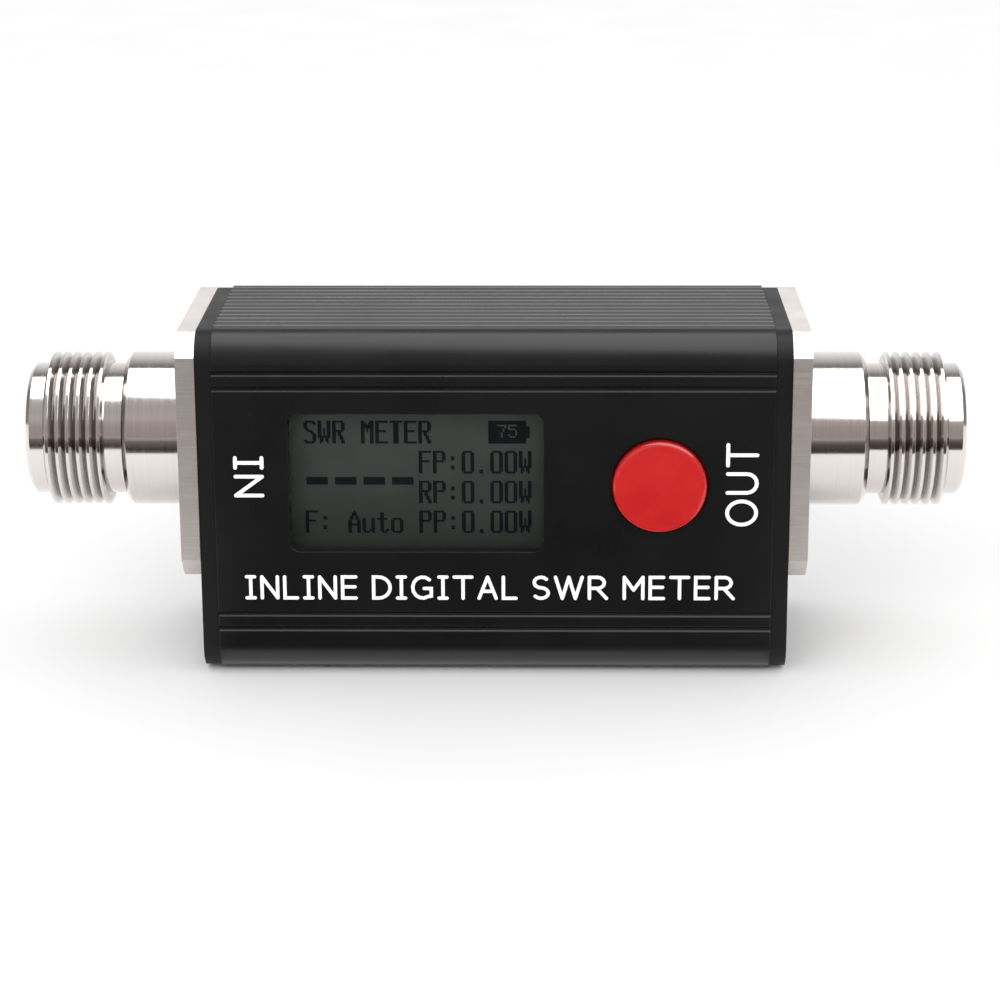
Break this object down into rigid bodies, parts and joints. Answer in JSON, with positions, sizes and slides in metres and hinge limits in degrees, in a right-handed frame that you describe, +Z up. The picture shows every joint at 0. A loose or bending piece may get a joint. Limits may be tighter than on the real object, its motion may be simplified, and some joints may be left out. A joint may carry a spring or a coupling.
{
  "type": "swr meter",
  "caption": "Small in-line radio frequency power and standing wave meter: black ribbed tube case with a display window, a red push button and a square-flanged coaxial connector at each end.",
  "frame": {"origin": "centre of the case's bottom face, half way between the end plates", "axes": "+X from the input connector to the output connector, +Y from the front panel with the display to the back, +Z up"},
  "size_m": [0.0962, 0.0263, 0.0358],
  "materials": {
    "black_anodised": "fine satin black anodising",
    "black_plate": "satin black anodising",
    "nickel": "polished nickel plate, brushed flange",
    "white_insulator": "waxy white fluoropolymer",
    "gold_contact": "gold plated",
    "screw_steel": "zinc plated",
    "black_screw": "black oxide",
    "clear_window": "clear, glossy",
    "tape": "thin adhesive film",
    "display_face": "polarising film, grey green",
    "display_glass": "clear",
    "chip_black": "moulded",
    "white_plastic": "moulded",
    "flex_film": "polyimide film",
    "red_button": "glossy moulded",
    "circuit_board": "green solder mask",
    "capacitor_brown": "sintered",
    "battery_foil": "laminated pouch foil",
    "foam": "closed cell foam",
    "red_wire": "silicone sleeve",
    "black_wire": "silicone sleeve",
    "copper": "bare copper"
  },
  "bodies": {
    "root": {"case_tube": "black_anodised", "input_end_plate": "black_plate", "output_end_plate": "black_plate", "input_connector_body": "nickel", "output_connector_body": "nickel", "input_connector_insulator": "white_insulator", "output_connector_insulator": "white_insulator", "input_connector_contact": "gold_contact", "output_connector_contact": "gold_contact", "input_flange_screws": "screw_steel", "output_flange_screws": "screw_steel", "input_plate_screws": "black_screw", "output_plate_screws": "black_screw", "window_glazing": "clear_window", "glazing_tape": "tape", "display_polariser": "display_face", "display_front_glass": "display_glass", "display_rear_glass": "display_glass", "display_driver_chip": "chip_black", "display_backlight": "white_plastic", "display_flex": "flex_film", "switch_dome": "screw_steel", "switch_body": "chip_black", "switch_cover": "screw_steel", "switch_terminals": "screw_steel", "main_board": "circuit_board", "microcontroller": "chip_black", "crystal": "screw_steel", "charge_controller": "chip_black", "board_capacitors": "capacitor_brown", "charging_socket_shell": "screw_steel", "charging_socket_tongue": "chip_black", "battery_cell": "battery_foil", "battery_protection_board": "circuit_board", "battery_pad": "foam", "battery_plug": "white_plastic", "battery_socket": "white_plastic", "battery_lead_positive": "red_wire", "battery_lead_negative": "black_wire", "coupler_board": "circuit_board", "through_line": "copper", "forward_sense_line": "copper", "reflected_sense_line": "copper", "termination_resistors": "chip_black", "detector_diodes": "chip_black", "filter_capacitors": "capacitor_brown", "link_header_housing": "chip_black", "link_header_pins": "gold_contact"},
    "button": {"button_cap": "red_button", "switch_plunger": "chip_black"}
  },
  "joints": [
    {"name": "power_button_press", "type": "slide", "parent": "root", "child": "button", "axis": [0, 1, 0], "range_m": [0, 0.00035], "stiffness_N_per_m": 900, "springref_m": -0.001, "deforming": ["switch_dome"]}
  ]
}
